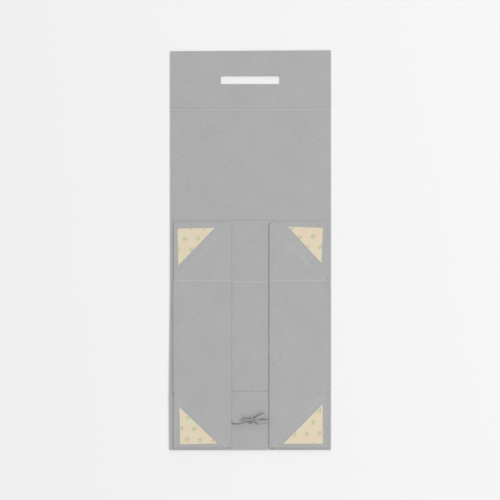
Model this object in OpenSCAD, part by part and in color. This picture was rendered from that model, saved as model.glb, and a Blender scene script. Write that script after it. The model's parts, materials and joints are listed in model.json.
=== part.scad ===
// Collapsible rigid storage box, lying flat and open as it is delivered.
// The case is a row of wrapped boards: front wall, base, back wall, lid and closure flap.
// A folding strip lies on each side: a side wall with a split gusset square at both ends.
// X runs across the box, Y from the front wall to the closure flap, Z up from the table.
// The origin is the middle of the base panel's underside.

/* [Box] */
// Outer width of the case panels
case_w = 220; // [180:1:300]
// Depth of the base, from its front crease to its back crease
base_d = 150; // [130:1:220]
// Height of the front wall
wall_h = 80; // [70:1:90]
// Length of the closure flap
flap_h = 80; // [60:1:90]

/* [Wrapped boards] */
// Thickness of a case panel, board and papers together
panel_t = 1.8; // [1.4:0.1:2.2]
// Thickness of the lining paper on the inner face
lining_t = 0.1; // [0.05:0.05:0.2]
// Bare border between the lining paper and a free edge
lining_margin = 4; // [2:0.5:8]
// Thickness of the wrapping paper that crosses a crease
paper_t = 0.3; // [0.2:0.05:0.4]
// Radius of a free corner of the case
corner_r = 1; // [0.5:0.1:3]

/* [Creases] */
// Distance from a crease to the start of the board that folds up on it
fold_start = 0.4; // [0.3:0.05:0.8]
// Clearance between a board's edge and the panel that stands up beside it
fold_clear = 0.3; // [0.2:0.05:0.6]
// Distance that each paper hinge stays back from its own fold line
hinge_gap = 0.1; // [0.05:0.05:0.15]
// Clearance between the lid and the tops of the side walls
lid_clear = 0.2; // [0.1:0.05:0.6]
// Clearance between the closure flap and the front wall
flap_clear = 0.4; // [0.2:0.1:1]

/* [Folding sides] */
// Thickness of a side wall or gusset, board and papers together
strip_t = 1.2; // [0.8:0.1:1.4]
// Room under the folded sides for the ribbon
strip_gap = 0.4; // [0.35:0.05:0.6]
// Distance from the case's side edge to the side wall's fold line
fold_inset = 4.5; // [3.5:0.1:8]
// Distance from the fold line to the side wall's own edge
side_edge_gap = 0.2; // [0.1:0.05:0.4]
// Length that a side wall's end stays short of the base's crease, as the corner's open crease needs
side_short = 8.4; // [8.3:0.1:12]
// Distance from the base's crease to the near edge of a gusset
gusset_start = 0.2; // [0.2:0.05:1]
// Width of the paper groove along a gusset's diagonal crease
diagonal_groove = 3.8; // [3.2:0.1:5]
// Height of the diagonal fold line over the gusset's face
diagonal_lift = 0.2; // [0.2:0.05:0.3]
// Height over the base at which a gusset's tip is cut, when it stands
tip_clear = 2.6; // [2:0.1:5]
// Distance from the back gussets' ends to the lid's crease
end_margin_back = 4; // [3:0.1:10]
// Distance from the front gussets' ends to the front wall's free edge
end_margin_front = 3.4; // [2.5:0.1:10]

/* [Adhesive corners] */
// Length of a release liner's two short sides
liner_leg = 50; // [40:1:54]
// Distance from a liner's square corner to the edges of its gusset
liner_inset = 7; // [5:0.5:8]
// Thickness of a release liner
liner_t = 0.1; // [0.05:0.05:0.1]
// Thickness of the adhesive under a liner
adhesive_t = 0.15; // [0.1:0.05:0.2]
// Border of a liner that has no adhesive under it
adhesive_inset = 1; // [0.5:0.5:3]

/* [Handle slot] */
// Length of the slot in the closure flap
slot_l = 79.3; // [60:0.1:100]
// Width of the slot in the closure flap
slot_w = 10.1; // [8:0.1:16]
// Radius of the slot's corners
slot_r = 1.3; // [0.5:0.1:3]
// Distance from the flap's crease to the middle of the slot
slot_y = 40.2; // [20:0.1:42]

/* [Ribbon] */
// Width of the ribbon
ribbon_w = 6; // [4:0.5:7]
// Thickness of the ribbon
ribbon_t = 0.3; // [0.2:0.05:0.3]
// Distance between the two slits that the ribbon passes through
slit_pitch = 68; // [60:1:74]
// Distance from the front crease to the ribbon's middle
ribbon_rise = 41.2; // [38:0.1:45]
// Clearance round the ribbon in its slits and beside it in the groove outside
ribbon_clear = 0.3; // [0.2:0.05:0.5]
// Depth left over the ribbon in the groove outside
groove_clear = 0.1; // [0.05:0.05:0.2]
// Diameter of the knot
knot_d = 4.4; // [3.6:0.1:5]
// Distance of the knot from the middle of the front wall
knot_x = 2.5; // [-5:0.5:5]
// Length of the left loop of the bow
left_loop_l = 15.5; // [10:0.5:18]
// Height of the left loop of the bow
left_loop_h = 3.2; // [2.4:0.1:5]
// Length of the right loop of the bow
right_loop_l = 18; // [10:0.5:20]
// Height of the right loop of the bow
right_loop_h = 4.2; // [2.4:0.1:5]
// Turn of the right loop away from the ribbon's line, in degrees
right_loop_turn = 26; // [10:1:40]
// Length of each short tail of the bow
tail_l = 11; // [6:0.5:14]
// Turn of each tail away from the ribbon's line, in degrees
tail_turn = 16; // [0:1:30]
// Distance from each slit at which the ribbon starts to rise to the knot
rise_start = 12; // [6:1:18]

/* [Hidden] */
$fn = 48;
overlap = 0.01;
cut = 1;

wrap_grey = [0.68, 0.68, 0.68];
wall_grey = [0.69, 0.69, 0.69];
liner_cream = [0.86, 0.82, 0.72];
adhesive_white = [0.93, 0.92, 0.88];
ribbon_grey = [0.62, 0.62, 0.62];

LEFT = -1;
RIGHT = 1;
FRONT = -1;
BACK = 1;

// Case creases, each on the underside of the boards
crease_y = base_d / 2;
back_h = wall_h + 2 * panel_t + lid_clear + side_edge_gap;
lid_crease_y = crease_y + back_h;
lid_d = base_d + panel_t + flap_clear;
flap_crease_y = lid_crease_y + lid_d;
board_back = panel_t + fold_clear;
hinge_back = paper_t + hinge_gap;

// Folding sides, lying on the case
fold_x = case_w / 2 - fold_inset;
strip_z = panel_t + strip_gap;
strip_top = strip_z + strip_t;
side_h = back_h - panel_t - strip_z - lid_clear;
free_x = fold_x - side_h;
side_end = crease_y - side_short;
diagonal_sum = fold_x + crease_y;
groove_half = diagonal_groove / 2;
back_reach = back_h - end_margin_back;
front_reach = wall_h - end_margin_front;

// Ribbon, seen along Y
ribbon_y = -crease_y - ribbon_rise;
slit_x = slit_pitch / 2;
recess_t = ribbon_t + groove_clear;
inner_z = panel_t + ribbon_t / 2;
knot_z = panel_t + knot_d / 2;
rise_x = slit_x - rise_start;

function reach(end) = end == BACK ? back_reach : front_reach;
function mirrored(points, side, end) = [for (p = points) [side * p[0], end * p[1]]];

// Unit vector and left-hand normal of a path's stretch from a to b
function unit(v) = v / norm(v);
function normal(a, b) = let (d = unit(b - a)) [-d[1], d[0]];
// Point i of a path moved sideways by h, with mitred corners
function beside(path, i, h) =
    let (
        last = len(path) - 1,
        before = i == 0 ? normal(path[0], path[1]) : normal(path[i - 1], path[i]),
        after = i == last ? before : normal(path[i], path[i + 1]),
        middle = unit(before + after)
    )
    path[i] + h * middle / (middle * before);
function band(path, t) = concat(
    [for (i = [0 : len(path) - 1]) beside(path, i, t / 2)],
    [for (i = [len(path) - 1 : -1 : 0]) beside(path, i, -t / 2)]
);

// Rectangle from y0 to y1 over the full width, with its two corners at y1 or y0 rounded
module board_outline(half_w, y0, y1, round_end = 0) {
    difference() {
        translate([-half_w, y0]) square([2 * half_w, y1 - y0]);
        if (round_end != 0)
            for (side = [LEFT, RIGHT])
                translate([side * half_w, round_end > 0 ? y1 : y0])
                    difference() {
                        square(2 * corner_r, center = true);
                        translate([-side * corner_r, -round_end * corner_r]) circle(corner_r);
                    }
    }
}

// A wrapped board with its lining paper, and the paper hinges that run on from it at its creases
module panel(y0, y1, hinge0 = 0, hinge1 = 0, round_end = 0) {
    lining0 = y0 + (round_end < 0 ? lining_margin : 0);
    lining1 = y1 - (round_end > 0 ? lining_margin : 0);
    linear_extrude(panel_t - lining_t) board_outline(case_w / 2, y0, y1, round_end);
    translate([0, 0, panel_t - lining_t - overlap])
        linear_extrude(lining_t + overlap)
            board_outline(case_w / 2 - lining_margin, lining0, lining1);
    if (hinge0 > 0)
        linear_extrude(paper_t) board_outline(case_w / 2, y0 - hinge0, y0 + overlap);
    if (hinge1 > 0)
        linear_extrude(paper_t) board_outline(case_w / 2, y1 - overlap, y1 + hinge1);
}

module base_panel() {
    color(wrap_grey)
        panel(-crease_y + board_back, crease_y - board_back,
              board_back - hinge_back, board_back - hinge_back);
}

module back_wall() {
    color(wrap_grey)
        panel(crease_y + fold_start, lid_crease_y - board_back,
              fold_start - hinge_gap, board_back - hinge_back);
}

module lid_panel() {
    color(wrap_grey)
        panel(lid_crease_y + fold_start, flap_crease_y - board_back,
              fold_start - hinge_gap, board_back - hinge_back);
}

module slot_outline() {
    difference() {
        square([slot_l, slot_w], center = true);
        for (sx = [LEFT, RIGHT], sy = [FRONT, BACK])
            translate([sx * slot_l / 2, sy * slot_w / 2])
                difference() {
                    square(2 * slot_r, center = true);
                    translate([-sx * slot_r, -sy * slot_r]) circle(slot_r);
                }
    }
}

module closure_flap() {
    color(wrap_grey)
        difference() {
            panel(flap_crease_y + fold_start, flap_crease_y + flap_h, fold_start - hinge_gap, 0, 1);
            translate([0, flap_crease_y + slot_y, -cut])
                linear_extrude(panel_t + 2 * cut) slot_outline();
        }
}

module front_wall() {
    slit_w = ribbon_t + 2 * ribbon_clear;
    band_w = ribbon_w + 2 * ribbon_clear;
    color(wrap_grey)
        difference() {
            panel(-crease_y - wall_h, -crease_y - fold_start, 0, fold_start - hinge_gap, -1);
            for (side = [LEFT, RIGHT])
                translate([side * slit_x - slit_w / 2, ribbon_y - band_w / 2, -cut])
                    cube([slit_w, band_w, panel_t + 2 * cut]);
            translate([-slit_x - slit_w / 2, ribbon_y - band_w / 2, -cut])
                cube([2 * slit_x + slit_w, band_w, recess_t + cut]);
        }
}

// Side wall folded down on the base, with its outer face up
module side_wall(side) {
    near_x = min(side * free_x, side * (fold_x - side_edge_gap));
    color(wall_grey)
        translate([near_x, -side_end, strip_z])
            cube([side_h - side_edge_gap, 2 * side_end, strip_t]);
}

// Outline of the gusset half that folds, at a set-back from the diagonal crease
function folding_outline(end, back_off) =
    let (
        y0 = crease_y + gusset_start,
        y1 = crease_y + reach(end),
        limit = diagonal_sum - back_off * sqrt(2),
        tip_x = min(fold_x - tip_clear, limit - y0)
    )
    concat(
        [[free_x, y0], [tip_x, y0]],
        limit - tip_x > y0 ? [[tip_x, limit - tip_x]] : [],
        limit - y1 > free_x ? [[limit - y1, y1], [free_x, y1]] : [[free_x, limit - free_x]]
    );

// Outline of the gusset half that stays on its wall, at a set-back from the diagonal crease
function fixed_outline(end, back_off) =
    let (
        x1 = fold_x - side_edge_gap,
        y1 = crease_y + reach(end),
        limit = diagonal_sum + back_off * sqrt(2),
        tip_y = max(limit - x1, crease_y + tip_clear)
    )
    concat(
        [[x1, tip_y], [x1, y1], [limit - y1, y1]],
        limit - tip_y < x1 ? [[limit - tip_y, tip_y]] : []
    );

// The two halves share the top paper, which runs into the groove along the diagonal
module folding_gusset(side, end) {
    color(wall_grey) {
        translate([0, 0, strip_z])
            linear_extrude(strip_t) polygon(mirrored(folding_outline(end, groove_half), side, end));
        translate([0, 0, strip_top - paper_t])
            linear_extrude(paper_t) polygon(mirrored(folding_outline(end, hinge_gap), side, end));
    }
}

module fixed_gusset(side, end) {
    color(wall_grey) {
        translate([0, 0, strip_z])
            linear_extrude(strip_t) polygon(mirrored(fixed_outline(end, groove_half), side, end));
        translate([0, 0, strip_top - paper_t])
            linear_extrude(paper_t) polygon(mirrored(fixed_outline(end, hinge_gap), side, end));
    }
}

// Each liner is cut and laid by hand: turn in degrees, shift in x and in y, extra length of the legs
function liner_lay(side, end) =
    end == BACK ? (side == LEFT ? [1.2, 1.2, -0.5, 0.5] : [-2.4, 0.2, 0.4, -2.1])
                : (side == LEFT ? [1.4, -2.5, 2.5, 0.6] : [0.2, 0, 1.5, 3.4]);

// A triangle with its square corner towards the gusset's outer corner, at an inset from the liner's edges
module corner_triangle(side, end, inset) {
    lay = liner_lay(side, end);
    near = -liner_leg - lay[3] + inset * (1 + sqrt(2));
    translate([side * (fold_x - liner_inset + lay[1]), end * (crease_y + reach(end) - liner_inset + lay[2])])
        rotate(lay[0])
            polygon(mirrored([[-inset, -inset], [-inset, near], [near, -inset]], side, end));
}

module adhesive(side, end) {
    color(adhesive_white)
        translate([0, 0, strip_top])
            linear_extrude(adhesive_t) corner_triangle(side, end, adhesive_inset);
}

module liner(side, end) {
    color(liner_cream)
        translate([0, 0, strip_top + adhesive_t])
            linear_extrude(liner_t) corner_triangle(side, end, 0);
}

// A closed loop of ribbon that leaves the knot along +X
module ribbon_loop(length, height) {
    r = height / 2;
    rotate([90, 0, 0])
        linear_extrude(ribbon_w, center = true)
            difference() {
                union() {
                    translate([0, -r]) square([length - r, height]);
                    translate([length - r, 0]) circle(r);
                }
                translate([-cut, -r + ribbon_t]) square([length - r + cut, height - 2 * ribbon_t]);
                translate([length - r, 0]) circle(r - ribbon_t);
            }
}

module ribbon_tail() {
    linear_extrude(ribbon_t)
        polygon([
            [0, -ribbon_w / 2], [tail_l - ribbon_w / 2, -ribbon_w / 2],
            [tail_l, ribbon_w / 2], [0, ribbon_w / 2]
        ]);
}

// The ribbon runs from the knot through one slit, across the outer face and back through the other
module ribbon_bow() {
    outer_z = ribbon_t / 2;
    route = [
        [knot_x, knot_z], [knot_x - knot_d, knot_z - ribbon_t], [-rise_x, inner_z], [-slit_x, inner_z],
        [-slit_x, outer_z], [slit_x, outer_z], [slit_x, inner_z], [rise_x, inner_z],
        [knot_x + knot_d, knot_z - ribbon_t], [knot_x, knot_z]
    ];
    color(ribbon_grey)
        translate([0, ribbon_y, 0]) {
            rotate([90, 0, 0]) linear_extrude(ribbon_w, center = true) polygon(band(route, ribbon_t));
            translate([knot_x, 0, knot_z]) {
                rotate([90, 0, 0]) cylinder(d = knot_d, h = ribbon_w + 2 * ribbon_t, center = true);
                translate([0, 0, left_loop_h / 2]) rotate([0, 0, 180]) ribbon_loop(left_loop_l, left_loop_h);
                translate([0, 0, right_loop_h / 2])
                    rotate([0, 0, right_loop_turn]) ribbon_loop(right_loop_l, right_loop_h);
            }
            for (turn = [-tail_turn, 180 + tail_turn])
                translate([knot_x, 0, panel_t + 2 * ribbon_t]) rotate([0, 0, turn]) ribbon_tail();
        }
}

base_panel();
back_wall();
front_wall();
lid_panel();
closure_flap();
side_wall(LEFT);  // left_side_wall
side_wall(RIGHT);  // right_side_wall
folding_gusset(LEFT, BACK);  // back_left_folding_gusset
folding_gusset(RIGHT, BACK);  // back_right_folding_gusset
folding_gusset(LEFT, FRONT);  // front_left_folding_gusset
folding_gusset(RIGHT, FRONT);  // front_right_folding_gusset
fixed_gusset(LEFT, BACK);  // back_left_fixed_gusset
fixed_gusset(RIGHT, BACK);  // back_right_fixed_gusset
fixed_gusset(LEFT, FRONT);  // front_left_fixed_gusset
fixed_gusset(RIGHT, FRONT);  // front_right_fixed_gusset
adhesive(LEFT, BACK);  // back_left_adhesive
adhesive(RIGHT, BACK);  // back_right_adhesive
adhesive(LEFT, FRONT);  // front_left_adhesive
adhesive(RIGHT, FRONT);  // front_right_adhesive
liner(LEFT, BACK);  // back_left_liner
liner(RIGHT, BACK);  // back_right_liner
liner(LEFT, FRONT);  // front_left_liner
liner(RIGHT, FRONT);  // front_right_liner
ribbon_bow();
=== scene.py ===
"""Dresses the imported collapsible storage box, which lies flat and open on a pale table.

Lengths are in millimetres until a mesh is made, and a name that ends in _m is in metres. X runs across
the box, Y from the front wall to the closure flap, and Z up from the table. Sizes and places come from
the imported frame: from the boxes of its nodes and from the places of its joints.
"""

import json
import logging
import math
from dataclasses import dataclass
from enum import Enum

import bpy
import numpy as np
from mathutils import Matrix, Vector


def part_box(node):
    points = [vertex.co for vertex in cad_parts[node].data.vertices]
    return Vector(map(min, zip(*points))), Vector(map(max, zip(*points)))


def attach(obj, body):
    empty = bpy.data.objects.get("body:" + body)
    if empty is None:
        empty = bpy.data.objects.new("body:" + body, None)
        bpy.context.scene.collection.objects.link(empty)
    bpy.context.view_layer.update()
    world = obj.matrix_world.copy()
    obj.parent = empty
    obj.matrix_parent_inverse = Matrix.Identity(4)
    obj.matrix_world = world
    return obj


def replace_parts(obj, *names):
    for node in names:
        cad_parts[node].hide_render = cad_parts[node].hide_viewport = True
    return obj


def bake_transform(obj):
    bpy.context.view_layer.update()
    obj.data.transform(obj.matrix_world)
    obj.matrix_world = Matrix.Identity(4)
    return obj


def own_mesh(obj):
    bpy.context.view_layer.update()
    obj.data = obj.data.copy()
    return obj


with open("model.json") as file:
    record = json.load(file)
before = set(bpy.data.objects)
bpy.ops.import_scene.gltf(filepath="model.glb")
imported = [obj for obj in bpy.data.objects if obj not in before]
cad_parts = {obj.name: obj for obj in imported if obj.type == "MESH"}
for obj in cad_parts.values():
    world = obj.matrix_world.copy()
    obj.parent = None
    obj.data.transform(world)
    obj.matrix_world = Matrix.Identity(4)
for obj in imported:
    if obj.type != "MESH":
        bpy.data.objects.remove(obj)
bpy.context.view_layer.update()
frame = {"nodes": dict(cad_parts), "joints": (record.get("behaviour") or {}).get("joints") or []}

MM = 0.001
LEVEL_FACE = 0.99999
SHARP_DEG = 35.0
LOG = logging.getLogger("storage_box")
JOINTS = {joint["name"]: joint for joint in frame["joints"]}


class Side(Enum):
    """The two long sides of the box."""

    LEFT = -1
    RIGHT = 1


class End(Enum):
    """The wall that a corner belongs to."""

    FRONT = -1
    BACK = 1


class Edge(Enum):
    """How one edge of a board is finished."""

    FREE = "paper turned in over a rounded edge"
    CREASE = "steep edge beside a fold"
    BEVEL = "sloped edge beside a fold"


def node_box(node: str) -> np.ndarray:
    """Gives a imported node's lowest and highest corner in millimetres, as two rows."""
    return np.array([list(corner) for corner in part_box(node)]) / MM


def joint_place(joint: str) -> np.ndarray:
    """Gives the point that a joint turns about, in millimetres."""
    return np.array(JOINTS[joint]["pos_m"]) / MM


def node_points(node: str) -> np.ndarray:
    """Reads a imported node's vertices.

    Args:
        node: the node's name.

    Returns:
        One row for each vertex, in millimetres.
    """
    mesh = frame["nodes"][node].data
    points = np.zeros(len(mesh.vertices) * 3)
    mesh.vertices.foreach_get("co", points)
    return points.reshape(-1, 3) / MM


def corner_name(side: Side, end: End) -> str:
    """Gives a corner's name, such as back_left."""
    return end.name.lower() + "_" + side.name.lower()


def smooth(t: np.ndarray) -> np.ndarray:
    """Rises from 0 to 1 with level ends: 3 t squared less 2 t cubed, t held between 0 and 1."""
    held = np.clip(t, 0.0, 1.0)
    return held * held * (3.0 - 2.0 * held)


def shade(mesh: bpy.types.Mesh, sharp_deg: float) -> None:
    """Shades a mesh smooth, but for its level faces and for edges that turn by more than an angle.

    Args:
        mesh: the mesh.
        sharp_deg: the angle in degrees.
    """
    normals = np.zeros(len(mesh.polygons) * 3, np.float32)
    mesh.polygons.foreach_get("normal", normals)
    level = np.abs(normals.reshape(-1, 3)[:, 2]) > LEVEL_FACE
    mesh.set_sharp_from_angle(angle=math.radians(sharp_deg))
    mesh.polygons.foreach_set("use_smooth", ~level)


def new_piece(name: str, points: np.ndarray, faces: list, material: bpy.types.Material,
              sharp_deg: float = SHARP_DEG) -> bpy.types.Object:
    """Makes a mesh object at the origin.

    Args:
        name: the piece's name.
        points: one row for each vertex, in millimetres.
        faces: vertex numbers of each face, anticlockwise from outside.
        material: the finish.
        sharp_deg: edges that turn by more than this stay sharp.

    Returns:
        The linked object.
    """
    mesh = bpy.data.meshes.new(name)
    mesh.from_pydata((points * MM).tolist(), [], faces)
    mesh.materials.append(material)
    mesh.validate()
    mesh.update()
    shade(mesh, sharp_deg)
    piece = bpy.data.objects.new(name, mesh)
    bpy.context.scene.collection.objects.link(piece)
    return piece


def set_uv(piece: bpy.types.Object, places: np.ndarray) -> None:
    """Stores a flat place in metres for each vertex as the piece's UV map.

    Args:
        piece: the piece that gets the map.
        places: one row of two lengths in millimetres for each vertex.
    """
    mesh = piece.data
    corners = np.zeros(len(mesh.loops), np.int32)
    mesh.loops.foreach_get("vertex_index", corners)
    layer = mesh.uv_layers.new(name="flat")
    layer.data.foreach_set("uv", (places[corners] * MM).astype(np.float32).ravel())


def set_number(piece: bpy.types.Object, name: str, values: np.ndarray) -> None:
    """Stores one number for each vertex under a name that a finish can read."""
    layer = piece.data.attributes.new(name, "FLOAT", "POINT")
    layer.data.foreach_set("value", values.astype(np.float32))


def offset_ring(corners: np.ndarray, insets: np.ndarray, radii: np.ndarray, steps: int) -> np.ndarray:
    """Finds a closed outline inside a convex polygon.

    Each side moves inwards by its own inset. Two moved sides meet at the point that solves both line
    equations, and an arc replaces it: the arc's centre is that point less the radius times the sum of
    the two outward normals over one plus their product, and its points are the centre plus the radius
    times directions turned evenly from the first normal to the second.

    Args:
        corners: the polygon's corners, anticlockwise.
        insets: for each corner, the inset of the side that leaves it.
        radii: the radius at each corner.
        steps: how many points each arc has.

    Returns:
        The outline's points, the first arc's first.
    """
    along = np.roll(corners, -1, axis=0) - corners
    along /= np.linalg.norm(along, axis=1, keepdims=True)
    outward = np.stack([along[:, 1], -along[:, 0]], axis=1)
    reach = np.sum(outward * corners, axis=1) - insets
    before = np.roll(outward, 1, axis=0)
    lines = np.stack([before, outward], axis=1)
    right_hand = np.stack([np.roll(reach, 1), reach], axis=1)[..., None]
    met = np.linalg.solve(lines, right_hand)[..., 0]
    shared = 1.0 + np.sum(before * outward, axis=1, keepdims=True)
    centre = met - radii[:, None] * (before + outward) / shared
    start = np.arctan2(before[:, 1], before[:, 0])
    turn = np.mod(np.arctan2(outward[:, 1], outward[:, 0]) - start, 2.0 * math.pi)
    angle = start[:, None] + turn[:, None] * np.linspace(0.0, 1.0, steps)
    arc = np.stack([np.cos(angle), np.sin(angle)], axis=-1)
    return (centre[:, None, :] + radii[:, None, None] * arc).reshape(-1, 2)


def ring_faces(rings: int, points: int, joined: bool = False) -> list:
    """Lists the faces of a stack of rings, from the lowest up.

    Args:
        rings: how many rings there are.
        points: how many points each ring has.
        joined: True if the last ring joins the first, False if each end is one flat face.

    Returns:
        The faces.
    """
    index = np.arange(rings * points).reshape(rings, points)
    upper = np.roll(index, -1, axis=0) if joined else index[1:]
    lower = index if joined else index[:-1]
    quads = np.stack(
        [lower, np.roll(lower, -1, axis=1), np.roll(upper, -1, axis=1), upper], axis=-1)
    faces = quads.reshape(-1, 4).tolist()
    if not joined:
        faces.append(index[0, ::-1].tolist())
        faces.append(index[-1].tolist())
    return faces


def sheet_faces(rows: int, columns: int) -> list:
    """Lists the faces of a thin closed sheet: an upper grid, a lower grid and the band round their border.

    Args:
        rows: points along the first parameter.
        columns: points along the second parameter.

    Returns:
        The faces, for vertices that hold the upper grid first and the lower grid after it.
    """
    index = np.arange(rows * columns).reshape(rows, columns)
    upper = np.stack([index[:-1, :-1], index[1:, :-1], index[1:, 1:], index[:-1, 1:]], axis=-1)
    upper = upper.reshape(-1, 4)
    lower = upper[:, ::-1] + rows * columns
    border = np.concatenate([index[:-1, 0], index[-1, :-1], index[:0:-1, -1], index[0, :0:-1]])
    after = np.roll(border, -1)
    under = rows * columns
    band = np.stack([border, border + under, after + under, after], axis=-1)
    return np.concatenate([upper, lower, band]).tolist()


def sheet_piece(name: str, upper: np.ndarray, lower: np.ndarray, material: bpy.types.Material,
                sharp_deg: float = 50.0) -> bpy.types.Object:
    """Makes a thin closed sheet between two grids of points.

    Args:
        name: the piece's name.
        upper: the grid that faces up, of rows by columns by 3, whose first parameter crossed with its
            second points away from the lower grid.
        lower: the grid under it.
        material: the finish.
        sharp_deg: edges that turn by more than this stay sharp.

    Returns:
        The sheet.
    """
    rows, columns = upper.shape[:2]
    points = np.concatenate([upper.reshape(-1, 3), lower.reshape(-1, 3)])
    return new_piece(name, points, sheet_faces(rows, columns), material, sharp_deg)


class Value:
    """A number in a material's node tree, with the arithmetic that a pattern is written in."""

    def __init__(self, tree: bpy.types.NodeTree, socket: bpy.types.NodeSocket) -> None:
        """Wraps an output socket of the tree."""
        self.tree = tree
        self.socket = socket

    def math(self, operation: str, *others: "Value | float", clamp: bool = False) -> "Value":
        """Applies one Math node.

        Args:
            operation: the node's operation.
            *others: the node's further inputs.
            clamp: True to hold the answer between 0 and 1.

        Returns:
            The answer.
        """
        node = self.tree.nodes.new("ShaderNodeMath")
        node.operation = operation
        node.use_clamp = clamp
        for socket, other in zip(node.inputs, (self, *others)):
            if isinstance(other, Value):
                self.tree.links.new(other.socket, socket)
            else:
                socket.default_value = other
        return Value(self.tree, node.outputs[0])

    def __add__(self, other: "Value | float") -> "Value":
        """Adds."""
        return self.math("ADD", other)

    def __sub__(self, other: "Value | float") -> "Value":
        """Subtracts."""
        return self.math("SUBTRACT", other)

    def __mul__(self, other: "Value | float") -> "Value":
        """Multiplies."""
        return self.math("MULTIPLY", other)

    def floor(self) -> "Value":
        """Rounds down."""
        return self.math("FLOOR")

    def fraction(self) -> "Value":
        """Keeps what is over the whole number."""
        return self.math("FRACT")

    def size(self) -> "Value":
        """Drops the sign."""
        return self.math("ABSOLUTE")

    def inside(self, half: float, blur: float) -> "Value":
        """Is 1 where the value is under half, 0 where it is over, and falls evenly over the blur."""
        return ((self * -1.0) + half + blur / 2.0).math("MULTIPLY", 1.0 / blur, clamp=True)


class Finish:
    """A principled material with the few helpers that the finishes below share."""

    def __init__(self, name: str) -> None:
        """Starts an empty finish.

        Args:
            name: the material's name.
        """
        self.material = bpy.data.materials.new(name)
        self.material.use_nodes = True
        self.tree = self.material.node_tree
        self.shader = next(n for n in self.tree.nodes if n.type == "BSDF_PRINCIPLED")

    def node(self, kind: str, **settings: object) -> bpy.types.Node:
        """Adds a node.

        Args:
            kind: the node's type.
            **settings: properties that are set on it.

        Returns:
            The node.
        """
        made = self.tree.nodes.new(kind)
        for key, value in settings.items():
            setattr(made, key, value)
        return made

    def link(self, output: bpy.types.NodeSocket, target: bpy.types.NodeSocket) -> None:
        """Joins two sockets."""
        self.tree.links.new(output, target)

    def number(self, output: bpy.types.NodeSocket) -> Value:
        """Wraps an output as a number."""
        return Value(self.tree, output)

    def stored(self, name: str) -> Value:
        """Gives the number that is stored on the piece under that name."""
        return self.number(self.node("ShaderNodeAttribute", attribute_name=name).outputs["Fac"])

    def flat_place(self) -> tuple:
        """Reads the piece's own flat map.

        Returns:
            The lengths along it and across it, in metres.
        """
        flat = self.node("ShaderNodeUVMap", uv_map="flat")
        parts = self.node("ShaderNodeSeparateXYZ")
        self.link(flat.outputs[0], parts.inputs[0])
        return self.number(parts.outputs[0]), self.number(parts.outputs[1])

    def constants(self, **values: float) -> None:
        """Sets the shader's own sockets, by their names with _ for a space."""
        for key, value in values.items():
            self.shader.inputs[key.replace("_", " ")].default_value = value

    def object_place(self, scale: tuple) -> bpy.types.NodeSocket:
        """Gives the place on the object, stretched along each axis.

        Args:
            scale: the stretch along X, Y and Z.

        Returns:
            The place, in metres times the scale.
        """
        place = self.node("ShaderNodeTexCoord")
        stretched = self.node("ShaderNodeVectorMath", operation="MULTIPLY")
        stretched.inputs[1].default_value = scale
        self.link(place.outputs["Object"], stretched.inputs[0])
        return stretched.outputs[0]

    def noise(self, place: bpy.types.NodeSocket, scale: float, detail: float = 2.0,
              roughness: float = 0.5) -> Value:
        """Gives a noise whose patches are about one over the scale across.

        Args:
            place: the place that it is read at.
            scale: how many patches a metre has.
            detail: how many finer layers it has.
            roughness: how strong those layers are.

        Returns:
            A number from 0 to 1.
        """
        made = self.node("ShaderNodeTexNoise")
        made.inputs["Scale"].default_value = scale
        made.inputs["Detail"].default_value = detail
        made.inputs["Roughness"].default_value = roughness
        self.link(place, made.inputs["Vector"])
        return self.number(made.outputs[0])

    def mix(self, share: Value, first: object, second: object) -> bpy.types.NodeSocket:
        """Mixes two colours, each a tuple or a socket.

        Args:
            share: the second colour's share, from 0 to 1.
            first: the colour where the share is 0.
            second: the colour where it is 1.

        Returns:
            The mixed colour.
        """
        made = self.node("ShaderNodeMix", data_type="RGBA", clamp_factor=True)
        self.link(share.socket, made.inputs[0])
        for colour, socket in ((first, made.inputs[6]), (second, made.inputs[7])):
            if isinstance(colour, tuple):
                socket.default_value = colour
            else:
                self.link(colour, socket)
        return made.outputs[2]

    def relief(self, height: Value, depth_m: float, strength: float) -> None:
        """Bumps the surface.

        Args:
            height: the height, from 0 to 1.
            depth_m: the depth in metres that the whole height stands for.
            strength: how much of the bump is felt.
        """
        bump = self.node("ShaderNodeBump")
        bump.inputs["Strength"].default_value = strength
        bump.inputs["Distance"].default_value = depth_m
        self.link(height.socket, bump.inputs["Height"])
        self.link(bump.outputs["Normal"], self.shader.inputs["Normal"])

    def rough(self, value: Value, low: float, high: float) -> None:
        """Sets the roughness from a number from 0 to 1."""
        self.link((value * (high - low) + low).socket, self.shader.inputs["Roughness"])


def grey(level: float) -> tuple:
    """Gives a linear grey."""
    return (level, level, level, 1.0)


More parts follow.
